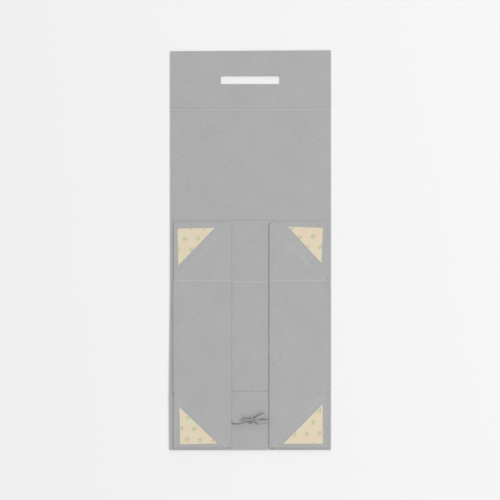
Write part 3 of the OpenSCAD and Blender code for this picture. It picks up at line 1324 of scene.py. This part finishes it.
    def gussets(self, side: Side, end: End) -> None:
        """Makes both halves of one split gusset.

        Args:
            side: the long side that it is on.
            end: the wall that it is on.
        """
        corner = corner_name(side, end)
        wall_body = end.name.lower() + "_wall_body"
        folding = corner + "_folding_gusset"
        fixed = corner + "_fixed_gusset"
        y0 = np.abs(node_box(folding))[:, 1].min()
        free_x = self.free_edge(side)
        limit = self.diagonal - self.groove_half * math.sqrt(2.0)
        tip_x = min(self.fold_x - self.tip_clear, limit - y0)
        outline = [[free_x, y0], [tip_x, y0], [free_x, limit - free_x]]
        sides = [Edge.CREASE, Edge.CREASE, Edge.FREE]
        self.gusset(folding, outline, sides, side, end, corner + "_gusset_body")
        strip_end = np.abs(node_box(fixed))[:, 1].max()
        end_y = strip_end + self.run_on[end is End.FRONT]
        x1 = self.fold_x - self.edge_gap
        limit = self.diagonal + self.groove_half * math.sqrt(2.0)
        outline = [[x1, limit - x1], [x1, end_y], [limit - end_y, end_y]]
        sides = [Edge.FREE, Edge.FREE if end is End.BACK else Edge.BEVEL, Edge.CREASE]
        self.gusset(fixed, outline, sides, side, end, wall_body)
        self.diagonal_paper(side, end, strip_end, wall_body)

    def diagonal_paper(self, side: Side, end: End, end_y: float, wall_body: str) -> None:
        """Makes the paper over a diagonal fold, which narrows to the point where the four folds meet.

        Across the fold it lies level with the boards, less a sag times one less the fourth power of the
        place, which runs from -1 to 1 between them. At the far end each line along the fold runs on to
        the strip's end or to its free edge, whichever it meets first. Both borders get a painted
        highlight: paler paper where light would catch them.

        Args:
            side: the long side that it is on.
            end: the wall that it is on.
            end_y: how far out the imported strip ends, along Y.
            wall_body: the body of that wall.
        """
        place = np.sin(np.linspace(-math.pi / 2.0, math.pi / 2.0, self.diagonal_stations))
        corner_xy = np.array([self.fold_x, self.crease_y])
        reach = min(end_y, self.diagonal - self.free_x)
        high = np.array([self.diagonal - reach, reach])
        length = np.linalg.norm(high - corner_xy)
        along = (high - corner_xy) / length
        outward = np.array([along[1], -along[0]])
        full = self.groove_half + self.diagonal_lap
        near = self.vertex_clear
        run = np.array([near, near + self.vertex_run, 4.0 * near, length * 0.5, length - full])
        half = np.array([self.vertex_half, full, full, full, full])
        lap = half[:, None] * place
        lap[0] = np.maximum(lap[0], -self.vertex_lap)
        line = corner_xy + run[:, None] * along
        across = lap[..., None] * outward
        flat = line[:, None, :] + across
        edge = corner_xy + across[-1]
        to_end = (end_y - self.edge_gap - edge[:, 1]) / along[1]
        to_free = (self.free_edge(side) + self.edge_gap - edge[:, 0]) / along[0]
        flat[-1] = edge + np.minimum(to_end, to_free)[:, None] * along
        sag = self.groove_sag * (1.0 - place ** 4) * (half / full)[:, None]
        height = self.top + self.paper_lift - sag
        upper = np.concatenate([flat, height[..., None]], axis=-1)
        lower = upper - [0.0, 0.0, self.paper_t * self.pressed_share]
        flip = np.array([side.value, end.value, 1.0])
        self.plug(flat[-1, self.plug_skip:-self.plug_skip], along, side, end, wall_body)
        upper, lower = upper * flip, lower * flip
        normal = np.cross(upper[1, 0] - upper[0, 0], upper[0, 1] - upper[0, 0])
        if normal[2] < 0.0:
            upper, lower = upper[::-1], lower[::-1]
        corner = corner_name(side, end)
        piece = sheet_piece(corner + "_diagonal_paper", upper, lower, self.paper)
        # Painted highlight: both borders of the diagonal are painted paler, where light would catch them.
        pressed = smooth((np.abs(place) - 0.55) / 0.25) * self.diagonal_worn
        worn = np.tile(pressed, (len(run), 1)).ravel()
        set_number(piece, "worn", np.concatenate([worn, np.zeros(len(worn))]))
        middle = (corner_xy + high) / 2.0
        start = (*((middle + outward * self.bend_half) * flip[:2] * MM), self.top * MM)
        stop = (*((middle - outward * self.bend_half) * flip[:2] * MM), self.top * MM)
        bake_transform(piece)
        LOG.info("diagonal paper %s", piece.name)

    def plug(self, row: np.ndarray, along: np.ndarray, side: Side, end: End, body: str) -> None:
        """Makes the turned-in paper that fills a diagonal groove's far end.

        Args:
            row: the groove's end as at the back right, from the folding half to the fixed one.
            along: the groove's direction there.
            side: the long side that it is on.
            end: the wall that it is on.
            body: the body that it rides on.
        """
        back = row[[-1, 0]] - self.plug_run * along
        outline = self.mirrored(np.concatenate([row, back])[::-1], side, end)
        roof = self.top - self.groove_sag - self.paper_t * self.pressed_share
        levels = (self.wall_t + self.glue_lift, roof)
        rings = np.array([np.column_stack([outline, np.full(len(outline), z)]) for z in levels])
        piece = board_piece(corner_name(side, end) + "_groove_end", rings, self.paper)
        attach(piece, body)
        LOG.info("groove end %s", piece.name)

    def corner_crease(self, side: Side, end: End) -> None:
        """Makes the papers in the fold between a side wall and a folding gusset.

        They lie over the ends of both boards and fill the gap, and close up against the side wall as
        the walls rise.

        Args:
            side: the long side that it is on.
            end: the wall that it is on.
        """
        start = self.end_y - self.crease_lap
        stop = self.crease_y + self.crease_reach
        station = np.array([start, start + 1.0, stop - 1.5, stop - 0.9, stop - 0.6, stop - 0.2, stop])
        thick = self.crease_paper_t if end is End.BACK else self.crease_paper_t * self.crease_front
        lift = np.array([0.05, 0.7, 0.9, 1.0, 1.0, 0.6, 0.05]) * thick
        outer = self.fold_x - self.edge_gap - self.crease_out
        across = np.array([self.free_edge(side) + self.crease_in, outer])
        x, y = np.meshgrid(across, station, indexing="ij")
        upper = np.stack([x, y, self.top + np.tile(lift, (2, 1))], axis=-1)
        lower = np.stack([x, y, np.full_like(x, self.bottom + self.crease_paper_t)], axis=-1)
        flip = np.array([side.value, end.value, 1.0])
        upper, lower = upper * flip, lower * flip
        if side.value * end.value < 0:
            upper, lower = upper[::-1], lower[::-1]
        corner = corner_name(side, end)
        piece = sheet_piece(corner + "_crease_paper", upper, lower, self.paper)
        # Painted highlight: the paper over a back crease is painted paler near the base's crease, where light
        # would catch it; the front gets none.
        strength = self.crease_worn if end is End.BACK else 0.0
        pressed = np.tile(np.array([0.0, 0.0, 0.0, 1.0, 1.0, 1.0, 0.2]) * strength, 2)
        set_number(piece, "worn", np.concatenate([pressed, np.zeros(len(pressed))]))
        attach(piece, side.name.lower() + "_side_body")
        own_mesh(piece)
        LOG.info("crease paper %s", piece.name)

    def build(self) -> None:
        """Makes both strips."""
        for side in Side:
            self.side_wall(side)
            self.side_fold(side)
            for end in End:
                self.gussets(side, end)
                self.corner_crease(side, end)


@dataclass
class AdhesiveCorners:
    """The four triangles of adhesive and the release liners on them.

    Attributes:
        liner: the finish of the liners.
        adhesive: the finish of the adhesive.
        rim_w: the width of a liner's pale cut rim.
        corner_r: the radius of a liner's corners.
        arc_steps: how many points each corner's arc has.
        print_turn_deg: how far each liner's print is turned.
    """

    liner: bpy.types.Material
    adhesive: bpy.types.Material
    rim_w: float = 0.7
    corner_r: float = 0.35
    arc_steps: int = 5
    print_turn_deg: tuple = (
        ("back_left", 0.0),
        ("back_right", 4.0),
        ("front_left", -3.0),
        ("front_right", 62.0),
    )

    def corners(self, node: str) -> np.ndarray:
        """Finds a packed liner's three corners from its vertices, seen from above.

        Args:
            node: the liner's node.

        Returns:
            The corners, anticlockwise.
        """
        flat = np.unique(np.round(node_points(node)[:, :2], 3), axis=0)
        middle = flat.mean(axis=0)
        order = np.argsort(np.arctan2(flat[:, 1] - middle[1], flat[:, 0] - middle[0]))
        return flat[order]

    def sheet(self, node: str) -> None:
        """Makes one liner as a thin sheet with softened edges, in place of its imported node.

        Args:
            node: the liner's node.
        """
        low, high = node_box(node)
        corners = self.corners(node)
        thick = high[2] - low[2]
        levels = np.array([0.0, 0.5, 0.9, 1.0, 1.0]) * thick + low[2]
        insets = np.array([0.05, 0.0, 0.02, 0.08, self.rim_w])
        rings = np.array([
            np.column_stack([
                offset_ring(corners, np.full(3, inset), np.full(3, self.corner_r), self.arc_steps),
                np.full(3 * self.arc_steps, level)])
            for level, inset in zip(levels, insets)])
        faces = ring_faces(rings.shape[0], rings.shape[1])
        points = rings.reshape(-1, 3)
        piece = new_piece(node + "_sheet", points, faces, self.liner)
        turn = math.radians(dict(self.print_turn_deg)[node.removesuffix("_liner")])
        u = np.array([math.cos(turn), math.sin(turn)])
        v = np.array([-u[1], u[0]])
        place = points[:, :2] - corners[0]
        set_uv(piece, np.column_stack([place @ u, place @ v]))
        set_number(piece, "rim", np.repeat([1.0, 1.0, 1.0, 0.9, 0.0], rings.shape[1]))
        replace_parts(piece, node)
        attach(piece, "back_wall_body" if node.startswith("back") else "front_wall_body")
        LOG.info("liner %s", piece.name)

    def build(self) -> None:
        """Makes the liners and dresses the adhesive under them."""
        for end in End:
            for side in Side:
                corner = corner_name(side, end)
                self.sheet(corner + "_liner")
                node = frame["nodes"][corner + "_adhesive"]
                node.data.materials.clear()
                node.data.materials.append(self.adhesive)


@dataclass
class RibbonBow:
    """The ribbon: its run through the front wall's slits, the two bands inside, the knot and the bow.

    Attributes:
        weave: the finish of the ribbon.
        thick: its thickness.
        band_half: half its width.
        clear: the clearance round it in its slits and its bed.
        slit_x: how far each slit lies from the wall's middle.
        slit_bend: how far from a slit the ribbon starts to turn into it.
        strip_x: how far from the middle the side strips start to cover the band.
        strip_lap: how far the band's shaped part runs on under them.
        knot_x: how far right of the middle the knot lies.
        knot_up: how far up the wall from the band's line it lies.
        knot_rise: how far it stands over the wall.
        knot_half: half its height up the wall.
        knot_lean: its turn from square, in radians.
        pleat: how deep the gathers are.
        roll_left: how far the left band leans, in radians.
        roll_right: how far the right band leans.
        left_sunk: how far the left band is pressed down.
        drawn_in: the share of its width that the band loses at the knot.
        inner_lift: how far the band lies over the wall's inner face.
        outer_lift: how far its outer run lies in from the wall's outer face.
        loop_left: how far the left loop reaches from the knot.
        loop_right: how far the right loop reaches.
        loop_over: how far the loops stand over the knot's rise.
        loop_slip: how far a loop's two runs lie from its own line, along Y.
        rise_from_fold: how far the ribbon lies from the front wall's fold.
        edge_points: how many points a strip of ribbon has across.
        band_points: how many points the band's shaped part has.
        outer_points: how many points the outer run has.
        loop_points: how many points a loop has.
    """

    weave: bpy.types.Material
    thick: float = 0.25
    clear: float = 0.3
    slit_x: float = 34.0
    strip_x: float = 25.0
    knot_x: float = 3.0
    knot_up: float = 3.0
    knot_rise: float = 2.2
    knot_half: float = 3.0
    knot_lean: float = -0.55
    pleat: float = 0.3
    roll_left: float = 0.5
    roll_right: float = 0.3
    loop_left: float = 15.4
    loop_right: float = 17.0
    loop_over: float = 1.4
    loop_slip: float = 0.45
    rise_from_fold: float = 41.2
    slit_bend: float = 0.3
    strip_lap: float = 1.5
    left_sunk: float = 0.22
    drawn_in: float = 0.52
    inner_lift: float = 0.03
    outer_lift: float = 0.1
    edge_points: int = 19
    band_points: int = 53
    outer_points: int = 9
    loop_points: int = 49
    band_half: float = 2.95

    def __post_init__(self) -> None:
        """Reads the ribbon's place from the frame."""
        self.y = joint_place("front_wall_fold")[1] - self.rise_from_fold
        self.face = node_box("base_panel")[1][2]

    def strip(self, name: str, centre: np.ndarray, width: np.ndarray, half: np.ndarray,
              crown: float = 0.12, pleat: np.ndarray | float = 0.0,
              painted_shade_side: np.ndarray | None = None) -> bpy.types.Object:
        """Carries a ribbon's flat section along a path.

        Each point is the path's centre plus the width's direction times the half width times v, plus
        the normal times the crown times one less v squared, for v from -1 to 1. Gathers add the pleat
        times the cosine of three half turns times v. The normal is the path's direction crossed with
        the width's.

        Args:
            name: the piece's name.
            centre: the path's points.
            width: a unit vector across the ribbon at each point.
            half: the half width at each point.
            crown: how far the middle stands over the two edges.
            pleat: how deep the gathers are, at each point or everywhere.
            painted_shade_side: for each point, 1 if painted shade goes on the edge on the width's side and
                -1 if on the other. Both edges get it where it is left out, and neither where it is 0.

        Returns:
            The piece, with its length and width as its flat map.
        """
        along = np.gradient(centre, axis=0)
        along /= np.linalg.norm(along, axis=1, keepdims=True)
        normal = np.cross(along, width)
        normal /= np.linalg.norm(normal, axis=1, keepdims=True)
        v = np.linspace(-1.0, 1.0, self.edge_points)
        middle = centre[:, None, :] + width[:, None, :] * (half[:, None] * v)[..., None]
        waves = np.ones(len(centre))[:, None] * np.reshape(pleat, (-1, 1)) * np.cos(3.0 * math.pi * v)
        middle = middle + normal[:, None, :] * (crown * (1.0 - v ** 2) + waves)[..., None]
        upper = middle + normal[:, None, :] * self.thick / 2.0
        lower = middle - normal[:, None, :] * self.thick / 2.0
        piece = sheet_piece(name, upper, lower, self.weave)
        step = np.linalg.norm(np.diff(centre, axis=0), axis=1)
        length = np.concatenate([[0.0], np.cumsum(step)])
        # The flat map's across value places the painted edge shade: on both edges, or on the one edge that is
        # given.
        over = np.abs(v) * np.ones((len(centre), 1)) if painted_shade_side is None else v * painted_shade_side[:, None]
        flat = np.stack([length[:, None] + 0.0 * over, over * half.max()], axis=-1).reshape(-1, 2)
        set_uv(piece, np.concatenate([flat, flat]))
        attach(piece, "front_wall_body")
        LOG.info("ribbon piece %s, %.0f mm long", name, length[-1])
        return piece

    def band(self) -> bpy.types.Object:
        """Makes the run across the wall's outer face and both bands inside, up to the knot.

        Under the strips the band lies flat. From their edges to the knot it rises by a smooth step and
        moves up to the knot's place, rolls about its own line, its lower edge up on the left and its
        upper edge up on the right, and is drawn in to half its width.

        Returns:
            The band.
        """
        inner = self.face + self.thick / 2.0 + self.inner_lift
        outer = self.thick / 2.0 + self.outer_lift
        x = np.linspace(-self.strip_x - self.strip_lap, self.strip_x + self.strip_lap, self.band_points)
        left = x < self.knot_x
        near = 1.0 - np.abs(x - self.knot_x) / np.where(
            left, self.strip_x + self.knot_x, self.strip_x - self.knot_x)
        rise = self.knot_rise * smooth(near * 1.2 - 0.15)
        shift = np.where(left, 0.2 + 2.8 * smooth((x + 18.0) / 17.0), -0.2 + 3.2 * smooth((14.0 - x) / 12.0))
        free = smooth((near + 0.03) / 0.12)
        roll = np.where(left, self.roll_left, -self.roll_right) * free
        roll = roll * (1.0 - 0.6 * smooth(near * 4.0 - 3.0))
        drawn = np.where(left, smooth((x + 13.0) / 13.0), smooth((10.0 - x) / 7.0))
        half = self.band_half * (1.0 - self.drawn_in * drawn)
        sunk = np.where(left, self.left_sunk, 0.0) * free
        inside = np.column_stack([x, shift, inner + rise - sunk + np.abs(np.sin(roll)) * half])
        slit, bend, count = self.slit_x, self.slit_bend, self.outer_points
        start = np.array([[-slit, 0.0, outer + self.thick], [-slit, 0.0, inner - bend],
                          [-slit + bend, 0.0, inner]])
        turn = np.array([[slit - bend, 0.0, inner], [slit, 0.0, inner - bend],
                         [slit, 0.0, outer + self.thick], [slit - bend, 0.0, outer]])
        back = np.column_stack([
            np.linspace(slit - 4.0, -slit + bend, count), np.zeros(count), np.full(count, outer)])
        centre = np.concatenate([start, inside, turn, back])
        centre[:, 1] += self.y
        before, after = np.zeros(len(start)), np.zeros(len(turn) + len(back))
        roll = np.concatenate([before, roll, after])
        half = np.concatenate([before + self.band_half, half, after + self.band_half])
        width = np.column_stack([np.zeros(len(centre)), np.cos(roll), -np.sin(roll)])
        pleat = np.concatenate([before, self.pleat * smooth(near * 3.0 - 1.8), after])
        # Painted shade goes on the left band's lower edge and the right band's upper edge, none on the outer
        # run.
        painted_shade_side = np.concatenate([before, np.where(left, -1.0, 1.0), after])
        return self.strip("ribbon_band", centre, width, half, 0.1, pleat, painted_shade_side)

    def loop(self, name: str, length: float, turn_deg: float, rise: float, roll: float,
             painted_shade_side: np.ndarray | None = None) -> bpy.types.Object:
        """Makes one loop of the bow, pinched at the knot and flattened at its far end.

        With an angle from 0 to a full turn, the way out is the length times one less its cosine, over
        two, and the height is half the rise times its sine times the sine of half the angle. The lower
        run lies a little higher up the wall than the upper one.

        Args:
            name: the piece's name.
            length: how far the loop reaches from the knot.
            turn_deg: the way it points, seen from above.
            rise: how far apart its two runs stand.
            roll: how far its upper edge leans, in radians.
            painted_shade_side: as for a strip.

        Returns:
            The loop.
        """
        angle = np.linspace(0.06, 2.0 * math.pi - 0.06, self.loop_points)
        out = length * (1.0 - np.cos(angle)) / 2.0
        height = rise / 2.0 * np.sin(angle) * np.sin(angle / 2.0)
        way = math.radians(turn_deg)
        along = np.array([math.cos(way), math.sin(way)])
        side = np.array([0.0, 1.0])
        level = self.face + self.knot_rise + self.loop_over
        slip = -self.loop_slip * np.sin(angle)
        flat = self.knot_place() + out[:, None] * along + slip[:, None] * side
        centre = np.column_stack([flat, level + height])
        across = np.array([-along[1] * math.cos(roll), along[0] * math.cos(roll), math.sin(roll)])
        width = np.tile(across, (len(angle), 1))
        half = self.band_half * (0.4 + 0.55 * smooth(out / length * 1.6))
        pleat = self.pleat * (1.0 - smooth(out / length * 1.8))
        return self.strip(name, centre, width, half, 0.05, pleat, painted_shade_side)

    def knot_place(self) -> np.ndarray:
        """Gives where the knot's middle lies."""
        return np.array([self.knot_x, self.y + self.knot_up])

    def tail_piece(self, name: str, length: float, turn_deg: float) -> bpy.types.Object:
        """Makes one short tail, which droops from under the knot to the wall.

        Args:
            name: the piece's name.
            length: how long it is.
            turn_deg: the way it points, seen from above.

        Returns:
            The tail.
        """
        share = np.linspace(0.0, 1.0, 15)
        way = math.radians(turn_deg)
        along = np.array([math.cos(way), math.sin(way)])
        drop = (self.knot_rise + 0.6) * (1.0 - smooth(share * 1.1))
        flat = self.knot_place() + length * share[:, None] * along
        centre = np.column_stack([flat, self.face + 0.35 + drop])
        lean = 0.35 * np.sin(share * math.pi)
        width = np.column_stack([-along[1] * np.cos(lean), along[0] * np.cos(lean), np.sin(lean)])
        half = self.band_half * (0.35 + 0.6 * smooth(share * 1.6))
        return self.strip(name, centre, width, half, 0.15)

    def knot(self) -> bpy.types.Object:
        """Makes the knot: a band that wraps once round the drawn-in ribbon, seen along X as an ellipse.

        Returns:
            The knot.
        """
        angle = np.linspace(-0.5 * math.pi - 0.15, 1.5 * math.pi + 0.15, 41)
        y = self.knot_half * np.cos(angle)
        z = 1.9 * np.sin(angle)
        lean = self.knot_lean
        place = self.knot_place()
        centre = np.column_stack([
            place[0] + y * lean, place[1] + y, self.face + self.knot_rise + 0.9 + z])
        width = np.tile([-math.cos(lean), math.sin(lean), 0.0], (len(angle), 1))
        half = 1.75 - 0.55 * np.abs(np.sin(angle))
        return self.strip("ribbon_knot", centre, width, half, -0.15, self.pleat * 0.7)

    def build(self) -> None:
        """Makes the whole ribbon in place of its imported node."""
        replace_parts(self.band(), "ribbon_bow")
        # Painted shade on one edge of the left loop; the right loop, the tails and the knot get it on both
        # edges.
        left_loop_shade_side = np.ones(self.loop_points)
        self.loop("ribbon_left_loop", self.loop_left, turn_deg=181.0, rise=2.2, roll=-0.8, painted_shade_side=left_loop_shade_side)
        self.loop("ribbon_right_loop", self.loop_right, turn_deg=22.0, rise=2.6, roll=0.15)
        self.tail_piece("ribbon_left_tail", length=8.0, turn_deg=214.0)
        self.tail_piece("ribbon_right_tail", length=9.0, turn_deg=-34.0)
        self.knot()


@dataclass(frozen=True)
class Lamp:
    """A soft square lamp.

    Attributes:
        name: the lamp's name.
        place_m: where it hangs.
        size_m: its side.
        power: its power in watts.
    """

    name: str
    place_m: tuple
    size_m: float
    power: float

    def hang(self, target: np.ndarray) -> None:
        """Hangs the lamp.

        Args:
            target: the point in metres that it points at.
        """
        data = bpy.data.lights.new(self.name, "AREA")
        data.shape = "SQUARE"
        data.size = self.size_m
        data.energy = self.power
        lamp = bpy.data.objects.new(self.name, data)
        bpy.context.scene.collection.objects.link(lamp)
        lamp.location = self.place_m
        back = np.array(self.place_m) - target
        from_up = math.acos(back[2] / np.linalg.norm(back))
        lamp.rotation_euler = (from_up, 0.0, math.atan2(back[1], back[0]) + math.pi / 2.0)


@dataclass
class Studio:
    """The pale table, the soft lights and the camera straight overhead.

    Attributes:
        lens_mm: the focal length of the camera's lens.
        sensor_mm: the width of its sensor.
        photo_px: the photo's width in pixels.
        mm_per_px: the length that a pixel spans on the boards' faces.
        middle_x: where the camera looks down, along X.
        middle_y: where it looks down, along Y.
        face_z: the height of the boards' faces.
        world: the strength of the even light from all round.
        table_half: half the table's side.
        table_z: the height of its top, just under the box.
        lamps: the lamps.
    """

    lens_mm: float = 85.0
    sensor_mm: float = 36.0
    photo_px: float = 500.0
    mm_per_px: float = 1.3673
    middle_x: float = -0.7
    middle_y: float = 118.3
    face_z: float = 1.8
    world: float = 0.552
    table_half: float = 3000.0
    table_z: float = -0.06
    lamps: tuple = (
        Lamp("key", (3.0, 2.04, 3.15), 1.05, 88.0),
        Lamp("window", (-0.3, 9.0, 2.3), 3.0, 190.0),
        Lamp("fill", (0.5, -1.2, 1.8), 2.0, 8.6),
    )

    def table(self) -> None:
        """Lays the table just under the box."""
        half = self.table_half
        corners = np.column_stack([rectangle(-half, half, -half, half), np.full(4, self.table_z)])
        floor = new_piece("table", corners, [[0, 1, 2, 3]], PaleTable().make())

    def camera(self) -> None:
        """Places the camera so that a pixel spans its stated length on the boards' faces."""
        data = bpy.data.cameras.new("overhead")
        data.lens = self.lens_mm
        data.sensor_width = self.sensor_mm
        camera = bpy.data.objects.new("overhead", data)
        bpy.context.scene.collection.objects.link(camera)
        view = self.photo_px * self.mm_per_px
        height = view * self.lens_mm / self.sensor_mm + self.face_z
        camera.location = (self.middle_x * MM, self.middle_y * MM, height * MM)
        camera.rotation_euler = (0.0, 0.0, 0.0)
        bpy.context.scene.camera = camera

    def build(self) -> None:
        """Sets up the whole studio."""
        scene = bpy.context.scene
        scene.view_settings.view_transform = "Standard"
        world = bpy.data.worlds.new("studio")
        scene.world = world
        world.use_nodes = True
        sky = next(n for n in world.node_tree.nodes if n.type == "BACKGROUND")
        sky.inputs["Color"].default_value = (1.0, 1.0, 1.0, 1.0)
        sky.inputs["Strength"].default_value = self.world
        self.table()
        target = np.array([0.0, self.middle_y * MM, 0.0])
        for lamp in self.lamps:
            lamp.hang(target)
        self.camera()


def main() -> None:
    """Builds the dressed box and its studio."""
    logging.basicConfig(level=logging.INFO, format="%(message)s")
    Studio().build()
    case_paper = WrapPaper("case_paper", tone=0.429).make()
    side_paper = WrapPaper("side_paper", tone=0.430).make()
    ribbon = RibbonBow(RibbonWeave().make())
    CaseBoards(case_paper).build(ribbon)
    FoldingSides(side_paper).build()
    AdhesiveCorners(ReleasePaper().make(), Tissue().make()).build()
    ribbon.build()


if __name__ == "__main__":
    main()
